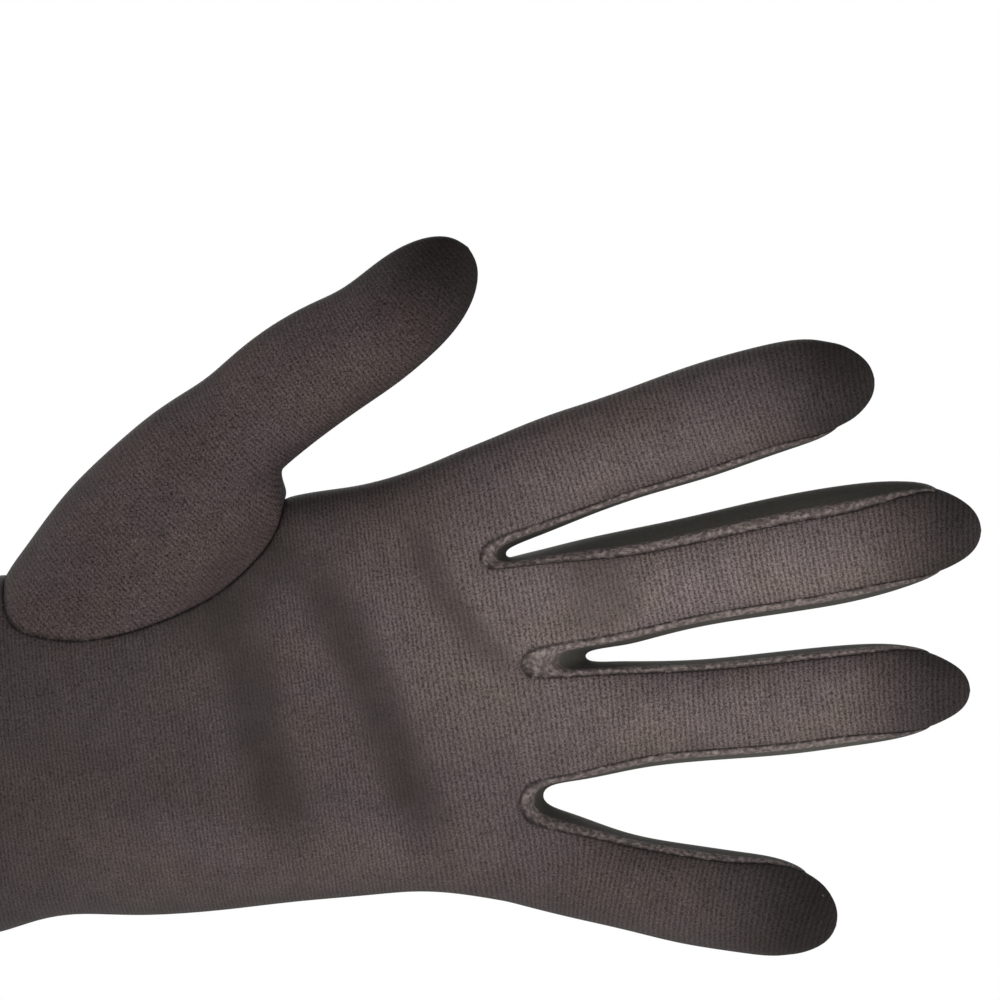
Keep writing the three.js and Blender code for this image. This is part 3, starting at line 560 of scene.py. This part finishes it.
def finger_part(index):
    """One finger: rings from the knuckle row to the tip that fade from the hand's shape to the finger's."""
    finger = FINGERS[index]
    digit = Digit(finger["bones"], finger["cap"])
    far_gusset, near_gusset = index < len(CROTCHES), index > 0
    far_shares = SIDE_SHARES if far_gusset else PLAIN_SHARES
    near_shares = SIDE_SHARES if near_gusset else PLAIN_SHARES
    roots, place = finger_roots(index)
    point_end = digit.tip - TIP_MARGIN
    stations = finger_stations(digit, point_end)
    open_share = 1 - np.clip((stations - point_end + TAPER_LENGTH) / TAPER_LENGTH, 0, 1) ** 2
    angles = ring_angles(finger, near_shares, far_shares, open_share)
    left = fade(stations / finger["knuckle"])
    drift = roots - digit.point(0.0, angles[0])
    points = digit.point(stations, angles) + drift * left[..., None]
    base = place[:FACE + 1, 1].mean()
    lead = finger["bones"][0, 0] - roots[:FACE + 1, 0].mean()
    along = base + stations + lead * (1 - left) + (place[:, 1] - base) * left
    cloth = np.stack([np.broadcast_to(place[:, 0], along.shape), along], axis=-1)
    pole = np.broadcast_to(digit.point(digit.tip, 0.0), (1,) + points.shape[1:])
    points = closed(np.concatenate([points, pole]))
    cloth = closed(np.concatenate([cloth, cloth[-1:] + [0, POLE_STEP]]))
    cloth[:, -1, 0] += HAND_GIRTH

    far_cells, near_cells = len(far_shares) - 1, len(near_shares) - 1
    piece = np.full(points.shape[1] - 1, TRANK)
    bead = np.zeros(points.shape[1])
    if far_gusset:
        piece[FACE:FACE + far_cells] = FIRST_FOURCHETTE + index
        bead[[FACE + 1, FACE + far_cells - 1]] = BEAD_RISE
    if near_gusset:
        piece[-near_cells:] = FIRST_FOURCHETTE + index - 1
        bead[[-2, -near_cells]] = BEAD_RISE
    rise = bead * np.concatenate([open_share, [[0]]]) ** 0.5
    skin.add(points, cloth, np.where(stations >= point_end, TRANK, piece), rise=rise)


def gap_part(index):
    """The fourchette's short stretch round the bottom of a gap between two fingers."""
    lines = np.stack([saddle(CROTCHES[index], side) for side in (-1, 0, 1)])
    rise = np.zeros(len(SIDE_SHARES))
    rise[[1, -2]] = BEAD_RISE
    skin.add(lines, lines[..., ::2], FIRST_FOURCHETTE + index, rise=rise)


def thumb_part():
    """The thumb piece: threads leave the oval seam and fade into evenly spaced threads round the thumb."""
    digit = Digit(THUMB_BONES, THUMB_CAP)
    full = digit.stations[THUMB_FULL_SECTION]
    start = digit.frame(0.0)[0]
    way = unit(digit.frame(full)[0] - start)
    stations = (oval_seam - start) @ way
    centre, across, forward, width, depth = digit.frame(stations)
    reach = oval_seam - centre
    angles = np.arctan2((reach * forward).sum(-1) / depth, (reach * across).sum(-1) / width)
    angles = np.degrees(np.unwrap(angles))
    count = len(angles)
    turn = 360 / count * np.arange(count)
    even = (angles + turn).mean() - turn
    share = np.insert(np.linspace(0, 1, THUMB_ROWS + 1), 1, THUMB_EDGE)[:, None]
    left = fade(share)
    drift = oval_seam - digit.point(stations, angles)
    rows = stations * (1 - share) + full * share
    lower = digit.point(rows, even * (1 - left) + angles * left) + drift * left[..., None]
    tube_rows = np.linspace(full, digit.last, THUMB_UPPER_ROWS + 1)[1:]
    upper_rows = np.concatenate([tube_rows, digit.last + digit.cap * CAP_ROWS, [digit.tip]])
    upper = digit.point(upper_rows[:, None], even)
    points = closed(np.concatenate([lower, upper]))
    along = np.concatenate([rows, np.broadcast_to(upper_rows[:, None], upper.shape[:2])])
    around = np.broadcast_to(turn / 360 * THUMB_GIRTH, along.shape)
    cloth = closed(np.stack([around, along * (1 + THUMB_CLOSENESS)], axis=-1))
    cloth[:, -1, 0] += THUMB_GIRTH
    skin.add(points[::-1], cloth[::-1], THUMB)


for number in range(len(FINGERS)):
    finger_part(number)
for number in range(len(CROTCHES)):
    gap_part(number)
thumb_part()

# The skin's shared points. Corners that coincide become one, and a quad may close up to a triangle.
corners = np.concatenate(skin.corners)
pieces = np.concatenate(skin.pieces)
WELD = 500                  # places are compared to 1/500 mm
keys = np.round(corners[..., :3].reshape(-1, 3) * WELD).astype(int)
_, first, corner_of = np.unique(keys, axis=0, return_index=True, return_inverse=True)
corner_of = corner_of.reshape(-1, 4)
places = corners[..., :3].reshape(-1, 3)[first]
real = corner_of != np.roll(corner_of, -1, axis=1)
whole = real.sum(axis=1) >= 3
corners, pieces, corner_of, real = corners[whole], pieces[whole], corner_of[whole], real[whole]


def per_point(values, join, start):
    """One value for each shared point, joined from the values of the quads' corners there."""
    result = np.full(len(places), float(start))
    join.at(result, corner_of, values)
    return result


def outward_ways():
    """The area-weighted mean of the directions that the quads round each point face."""
    spots = places[corner_of]
    across = np.cross(spots[:, 2] - spots[:, 0], spots[:, 3] - spots[:, 1])[:, None, :]
    total = np.zeros_like(places)
    np.add.at(total, corner_of, across + np.zeros((1, 4, 1)))
    return unit(total)


outward = outward_ways()
owner = pieces[:, None] + np.zeros((1, 4))
seam = per_point(owner, np.maximum, -1) != per_point(owner, np.minimum, len(pieces))
stitched = seam | (np.abs(places[:, 0] - HEM_STITCH_X) < STITCH_MARGIN)
bead = per_point(corners[..., 5], np.maximum, 0)
places = places + outward * np.where(seam, -SEAM_SINK, bead)[:, None]


def folded(points):
    """The palm side's points moved forward by the folds' height."""
    x, y, z = np.moveaxis(points, -1, 0)
    rise = across_bands(PALM_FOLDS, x, z, 2) * smoothstep(-y, *PALM_SIDE)
    return np.stack([x, y - rise, z], axis=-1)


def stretch_and_light_pool(points):
    """A bell round the place that is stretched most and carries a painted pool of light: exp(-(dx / reach)^2
    - (dz / reach)^2).
    """
    along, up = np.moveaxis((points[..., ::2] - STRETCHED_AND_LIT) / STRETCHED_AND_LIT_REACH, -1, 0)
    return np.exp(-along ** 2 - up ** 2)


def painted_band_light(points):
    """The bands' painted light on the palm side: negative for painted shade in the folds, positive for a
    painted lit band along the heel.
    """
    x, y, z = np.moveaxis(points, -1, 0)
    return across_bands(PAINTED_LIGHT_BANDS, x, z, 3) * smoothstep(-y, *PALM_SIDE)


def knit_tone_with_painted_light(points):
    """How pale the knit is: the slack tone plus the stretch and a painted pool of light, times the bands'
    painted light and shade and the painted shade at the fingertips.
    """
    tone_with_painted_light = SLACK_TONE_OUTSIDE_LIGHT_POOL + (1 - SLACK_TONE_OUTSIDE_LIGHT_POOL) * stretch_and_light_pool(points)
    tone_with_painted_light = tone_with_painted_light * np.maximum(1 + painted_band_light(points), DEEPEST_SHADE)
    for bones in [finger["bones"] for finger in FINGERS] + [THUMB_BONES]:
        to_tip = np.linalg.norm(points - bones[-1, :3], axis=-1)
        tone_with_painted_light = tone_with_painted_light * (1 - TIP_SHADE * (1 - smoothstep(to_tip, *TIP_SHADE_ENDS)))
    return tone_with_painted_light


def knit_openness(points):
    """How clearly the rows show: most where the cloth is stretched, about half as much in the sunk folds."""
    open_rows = SLACK_OPENNESS + (1 - SLACK_OPENNESS) * stretch_and_light_pool(points)
    return open_rows * np.clip(1 + FOLD_CLOSING * painted_band_light(points), FOLD_OPENNESS, 1)


def facing_for_painted_shade(normals):
    """How squarely the cloth faces front or back, from 0 at the edges to 1, which sets the painted shade at
    the edges.
    """
    return np.abs(normals[:, 1])


# Materials: nodes are built through two small classes.
class Value:
    """One output of a material's node; sums, differences and products of it are Math nodes."""

    def __init__(self, surface, output):
        self.surface = surface
        self.output = output

    def maths(self, operation, *values):
        return self.surface.node("ShaderNodeMath", dict(operation=operation), dict(enumerate(values)))

    def __add__(self, other):
        return self.maths("ADD", self, other)

    def __radd__(self, other):
        return self.maths("ADD", other, self)

    def __sub__(self, other):
        return self.maths("SUBTRACT", self, other)

    def __rsub__(self, other):
        return self.maths("SUBTRACT", other, self)

    def __mul__(self, other):
        return self.maths("MULTIPLY", self, other)

    def __rmul__(self, other):
        return self.maths("MULTIPLY", other, self)

    def sine(self):
        return self.maths("SINE", self)

    def step(self, low, high):
        """0 below low, 1 above high, smooth between."""
        return self.surface.node(
            "ShaderNodeMapRange", dict(interpolation_type="SMOOTHSTEP"),
            {"Value": self, "From Min": low, "From Max": high})


class Surface:
    """A material whose nodes are added with node() and whose shader is a Principled BSDF."""

    def __init__(self, name):
        self.material = bpy.data.materials.new(name)
        self.material.use_nodes = True
        self.tree = self.material.node_tree
        self.tree.nodes.clear()

    def node(self, kind, settings=None, inputs=None, output=0):
        """Adds a node, applies its settings, then sets or links its inputs, and gives one output."""
        node = self.tree.nodes.new(kind)
        for key, value in (settings or {}).items():
            setattr(node, key, value)
        for key, value in (inputs or {}).items():
            if isinstance(value, Value):
                self.tree.links.new(value.output, node.inputs[key])
            else:
                node.inputs[key].default_value = value
        return Value(self, node.outputs[output])

    def attribute(self, name):
        return self.node("ShaderNodeAttribute", dict(attribute_name=name), output="Fac")

    def colour_mix(self, share, first_colour, second_colour):
        """Sockets 6 and 7 of a Mix node are its colours, and output 2 is the mixed colour."""
        inputs = {0: share, 6: first_colour, 7: second_colour}
        return self.node("ShaderNodeMix", dict(data_type="RGBA"), inputs, 2)

    def noise(self, vector, scale, detail=2.0):
        return self.node("ShaderNodeTexNoise", None, {"Vector": vector, "Scale": scale, "Detail": detail})

    def finish(self, **inputs):
        shader = self.node("ShaderNodeBsdfPrincipled", None, inputs)
        material_output = self.tree.nodes.new("ShaderNodeOutputMaterial")
        self.tree.links.new(shader.output, material_output.inputs["Surface"])
        return self.material


def colour(red, green, blue):
    """A screen colour of 0 to 255 as the linear colour that shaders take."""
    share = np.array([red, green, blue]) / 255
    linear = np.where(share > 0.04045, ((share + 0.055) / 1.055) ** 2.4, share / 12.92)
    return (*linear, 1.0)


# The knit's rows and stitches in mm, with how far a slow and a quick noise move each, and how its parts vary.
RIB_PITCH = 0.88
ROW_MOVES = (0.5, 0.5)
STITCH_PITCH = 0.56
STITCH_MOVES = (0.8, 0.6)
STITCH_RELIEF = 0.22        # share of a row's height that its stitches make uneven
MEAN_RELIEF = 0.44
SPECKLE = 2.7               # how strongly single fibres break up the rows
BLOTCHES = 0.48             # how much the tone varies from place to place
PAINTED_EDGE_SHADE = 0.55           # painted shade: how much darker the knit is where it faces the edges
# Scales of the noises, in waves per metre.
TINT_SCALE = 70.0
WANDER_SCALE = 160.0
BLOTCH_SCALE = 220.0
THREAD_SCALE = 750.0
LINT_SCALE = 800.0
TREMBLE_SCALE = 1300.0
TURNING_SCALE = 1300.0
GRAIN_SCALE = 1500.0
SPECKLE_SCALE = 3300.0


def varied(noise, amount):
    """A factor that noise moves from 1 - amount / 2 to 1 + amount / 2."""
    return noise * amount + (1 - amount / 2)


def knit_relief(surface, along, around, place):
    """Height of the knit, 0 to 1: narrow rows of stitches, both uneven, the squares of two sines."""
    wander = surface.noise(place, WANDER_SCALE) - 0.5
    tremble = surface.noise(place, TREMBLE_SCALE) - 0.5
    row = ((along + wander * ROW_MOVES[0] + tremble * ROW_MOVES[1]) * (np.pi / RIB_PITCH)).sine()
    stitch = ((around + wander * STITCH_MOVES[0] + tremble * STITCH_MOVES[1]) * (np.pi / STITCH_PITCH)).sine()
    return row * row * (1 - STITCH_RELIEF + stitch * stitch * STITCH_RELIEF)


def shaded(surface, base, shade):
    """A colour, fixed or from a node, times a value."""
    base = base if isinstance(base, Value) else base[:3]
    return surface.node("ShaderNodeVectorMath", dict(operation="SCALE"), {0: base, "Scale": shade})


def tinted(surface, base, place):
    """A colour that drifts between a brownish and a violet grey over a couple of centimetres."""
    drift = surface.noise(place, TINT_SCALE).step(0.38, 0.62)
    tint = surface.colour_mix(drift, (1.02, 0.99, 0.96, 1.0), (0.99, 0.97, 1.01, 1.0))
    return surface.node("ShaderNodeVectorMath", dict(operation="MULTIPLY"), {0: base, 1: tint})


def stitch_line(surface, place):
    """1 on the thin broken line of thread along a seam."""
    return surface.attribute("seam").step(0.45, 0.95) * surface.noise(place, THREAD_SCALE).step(0.32, 0.5)


def ribbed_knit(name, thread, gap, rows):
    """Fine rows of broken pale stitches over darker gaps, with some lint; rows is how plain the rows are."""
    surface = Surface(name)
    place = surface.node("ShaderNodeTexCoord", output="Object")
    uv = surface.node("ShaderNodeUVMap", dict(uv_map="cloth"))
    around = surface.node("ShaderNodeSeparateXYZ", None, {0: uv}, "X")
    along = surface.node("ShaderNodeSeparateXYZ", None, {0: uv}, "Y")
    relief = knit_relief(surface, along, around, place)
    speckle = surface.noise(place, SPECKLE_SCALE)
    blotch = surface.noise(place, BLOTCH_SCALE, 4.0)
    lint = surface.noise(place, LINT_SCALE, 1.0).step(0.8, 0.82)
    openness = surface.attribute("openness")
    # painted shade where the knit turns away to the edges
    painted_edge_shade = 1 - PAINTED_EDGE_SHADE + surface.attribute("facing_for_painted_edge_shade") * PAINTED_EDGE_SHADE
    # the tone attribute carries painted light: a pool of frontal light, shade in the folds and at the
    # fingertips, and a lit band along the heel
    tone_with_painted_light = surface.attribute("tone_with_painted_light") * varied(blotch, BLOTCHES) * painted_edge_shade
    lit = 0.5 + ((relief - MEAN_RELIEF) * rows + (speckle - 0.5) * SPECKLE) * openness
    threads = surface.colour_mix(lit, gap, thread)
    base = shaded(surface, tinted(surface, threads, place), tone_with_painted_light * (1 - stitch_line(surface, place) * 0.6))
    height = (relief * rows + speckle * 0.8) * openness
    bump = surface.node("ShaderNodeBump", None, {"Strength": 0.5, "Distance": 0.0002, "Height": height})
    return surface.finish(**{
        "Base Color": surface.colour_mix(lint * 0.3, base, thread), "Roughness": 0.9,
        "Specular IOR Level": 0.15, "Normal": bump})


def plain_knit(name, face, bead_colour):
    """The fourchettes' finer knit, almost smooth, with the trank's mottled fuzzy turning along the seams."""
    surface = Surface(name)
    place = surface.node("ShaderNodeTexCoord", output="Object")
    grain = surface.noise(place, GRAIN_SCALE, 3.0)
    specks = surface.noise(place, TURNING_SCALE, 4.0).step(0.32, 0.68)
    edge = (surface.attribute("bead") + surface.attribute("seam")).step(0.05, 0.5)
    fuzz = surface.colour_mix(edge, face, shaded(surface, bead_colour, varied(specks, 0.9)))
    # the fourchettes' tone carries the same painted light and shade as the knit's
    shade = (0.3 + surface.attribute("tone_with_painted_light") * 0.6) * (1 - stitch_line(surface, place) * 0.65)
    base = shaded(surface, fuzz, shade * varied(grain, 0.5))
    height = grain * 0.4 + specks * (edge * 1.2 + 0.1)
    bump = surface.node("ShaderNodeBump", None, {"Strength": 0.8, "Distance": 0.0003, "Height": height})
    return surface.finish(**{
        "Base Color": base, "Roughness": 0.95, "Specular IOR Level": 0.12, "Normal": bump})


knit = ribbed_knit("knit", colour(126, 115, 113), colour(66, 57, 55), 0.55)
thumb_knit = ribbed_knit("thumb_knit", colour(137, 121, 120), colour(42, 33, 30), 0.35)
fourchette_knit = plain_knit("fourchette_knit", colour(76, 74, 69), colour(124, 113, 110))


def subdivided(piece):
    """The piece's mesh rounded by two levels of subdivision."""
    rounding = piece.modifiers.new("rounding", "SUBSURF")
    rounding.levels = rounding.render_levels = 2
    graph = bpy.context.evaluated_depsgraph_get()
    fine = bpy.data.meshes.new_from_object(piece.evaluated_get(graph))
    piece.modifiers.remove(rounding)
    return fine


def put_values(mesh, name, values):
    """Stores one value for each point of a mesh."""
    layer = mesh.attributes.new(name, "FLOAT", "POINT")
    layer.data.foreach_set("value", values.astype(np.float32))


def quad_mesh(number, name):
    """A piece's own quads as a mesh, with their place in the cloth, the beads and the seams."""
    own = pieces == number
    loops = corner_of[own][real[own]]
    used, vertex_of = np.unique(loops, return_inverse=True)
    sizes = real[own].sum(axis=1)
    mesh = bpy.data.meshes.new(name)
    mesh.vertices.add(len(used))
    mesh.loops.add(len(loops))
    mesh.polygons.add(len(sizes))
    mesh.vertices.foreach_set("co", (places[used] * MM).ravel())
    mesh.loops.foreach_set("vertex_index", vertex_of.astype(np.int32))
    mesh.polygons.foreach_set("loop_start", (np.cumsum(sizes) - sizes).astype(np.int32))
    mesh.update(calc_edges=True)
    layer = mesh.uv_layers.new(name="cloth")
    layer.data.foreach_set("uv", corners[own][real[own]][:, 3:5].ravel())
    put_values(mesh, "bead", bead[used] / BEAD_RISE)
    put_values(mesh, "seam", stitched[used])
    mesh.shade_smooth()
    return mesh


def shape_cloth(mesh):
    """Moves a fine mesh's points into the palm's folds and stores how its knit looks there, painted light and
    shade included.
    """
    spots = np.empty(len(mesh.vertices) * 3, np.float32)
    normals = np.empty_like(spots)
    mesh.vertices.foreach_get("co", spots)
    mesh.vertex_normals.foreach_get("vector", normals)
    spots = folded(spots.reshape(-1, 3) / MM)
    mesh.vertices.foreach_set("co", (spots * MM).ravel())
    put_values(mesh, "tone_with_painted_light", knit_tone_with_painted_light(spots))
    put_values(mesh, "openness", knit_openness(spots))
    # painted shade at the edges, where the cloth turns from front and back
    put_values(mesh, "facing_for_painted_edge_shade", facing_for_painted_shade(normals.reshape(-1, 3)))


def sewn_piece(number, node, material):
    """One sewn piece: its own quads, rounded by subdivision and thickened inwards."""
    mesh = quad_mesh(number, node)
    mesh.materials.append(material)
    piece = bpy.data.objects.new(node + "_cloth", mesh)
    bpy.context.scene.collection.objects.link(piece)
    piece.data = subdivided(piece)
    shape_cloth(piece.data)
    wall = piece.modifiers.new("wall", "SOLIDIFY")
    wall.thickness = WALL * MM
    wall.offset = -1
    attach(piece, "root")
    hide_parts(node)


sewn_piece(TRANK, "trank", knit)
sewn_piece(THUMB, "thumb_piece", thumb_knit)
for number, node in enumerate(FOURCHETTES, FIRST_FOURCHETTE):
    sewn_piece(number, node, fourchette_knit)

# The studio: a wide pale floor well below the glove, a white surround and soft lights in front, behind and at
# both ends. Lengths are in metres.
FLOOR_Z = -0.5
FLOOR_RADIUS = 2.5
FLOOR_GLOW = 0.3            # a faint light of its own keeps the floor evenly pale
AMBIENT = 0.45              # strength of the surround as a light
WHITE = (1, 1, 1, 1)
LAMP_SIZE = 0.5
AIM = (0.085, 0, 0.0439)
CAMERA_DISTANCE = 0.9
FRAME_WIDTH = 0.17          # width of the picture at the glove, where 1000 pixels are 0.17 mm each


def floor():
    """A pale round floor."""
    bpy.ops.mesh.primitive_circle_add(vertices=96, radius=FLOOR_RADIUS, fill_type="NGON")
    disc = bpy.context.object
    disc.name = "floor"
    disc.location = (0.02, 0, FLOOR_Z)
    surface = Surface("floor")
    disc.data.materials.append(surface.finish(**{
        "Base Color": colour(244, 243, 241), "Roughness": 0.9,
        "Emission Color": WHITE, "Emission Strength": FLOOR_GLOW}))


def soft_light(name, place, aim, watts):
    """A square soft light at a place, turned towards the aim."""
    light = bpy.data.lights.new(name, "AREA")
    light.size = LAMP_SIZE
    light.energy = watts
    lamp = bpy.data.objects.new(name, light)
    lamp.location = place
    lamp.visible_camera = False
    way = unit(np.array(place, float) - np.array(aim, float))
    lamp.rotation_euler = (np.arccos(way[2]), 0, np.arctan2(way[0], -way[1]))
    bpy.context.scene.collection.objects.link(lamp)


def studio():
    """A white surround for the camera, and a dimmer one that lights the glove."""
    world = bpy.data.worlds.new("studio")
    bpy.context.scene.world = world
    world.use_nodes = True
    tree = world.node_tree
    tree.nodes.clear()
    path = tree.nodes.new("ShaderNodeLightPath")
    seen = tree.nodes.new("ShaderNodeBackground")
    lighting = tree.nodes.new("ShaderNodeBackground")
    mix = tree.nodes.new("ShaderNodeMixShader")
    output = tree.nodes.new("ShaderNodeOutputWorld")
    for background in (seen, lighting):
        background.inputs["Color"].default_value = WHITE
    lighting.inputs["Strength"].default_value = AMBIENT
    tree.links.new(path.outputs["Is Camera Ray"], mix.inputs[0])
    tree.links.new(lighting.outputs[0], mix.inputs[1])
    tree.links.new(seen.outputs[0], mix.inputs[2])
    tree.links.new(mix.outputs[0], output.inputs[0])


floor()
studio()
soft_light("front", (0.1, -1.1, -0.3), (0.1, 0, 0.02), 6.9)
soft_light("back", (0.02, 0.9, 0.35), (0.02, 0, 0), 6.0)
soft_light("sleeve end", (-0.85, 0.15, 0.25), (-0.1, 0, 0), 9.0)
soft_light("finger end", (0.95, 0.2, 0.25), (0.1, 0, 0), 3.0)

camera_data = bpy.data.cameras.new("camera")
camera_data.sensor_width = 36
camera_data.lens = camera_data.sensor_width * CAMERA_DISTANCE / FRAME_WIDTH
camera = bpy.data.objects.new("camera", camera_data)
camera.location = (AIM[0], -CAMERA_DISTANCE, AIM[2])
camera.rotation_euler = (np.pi / 2, 0, 0)
bpy.context.scene.collection.objects.link(camera)
bpy.context.scene.camera = camera
bpy.context.scene.view_settings.view_transform = "Standard"
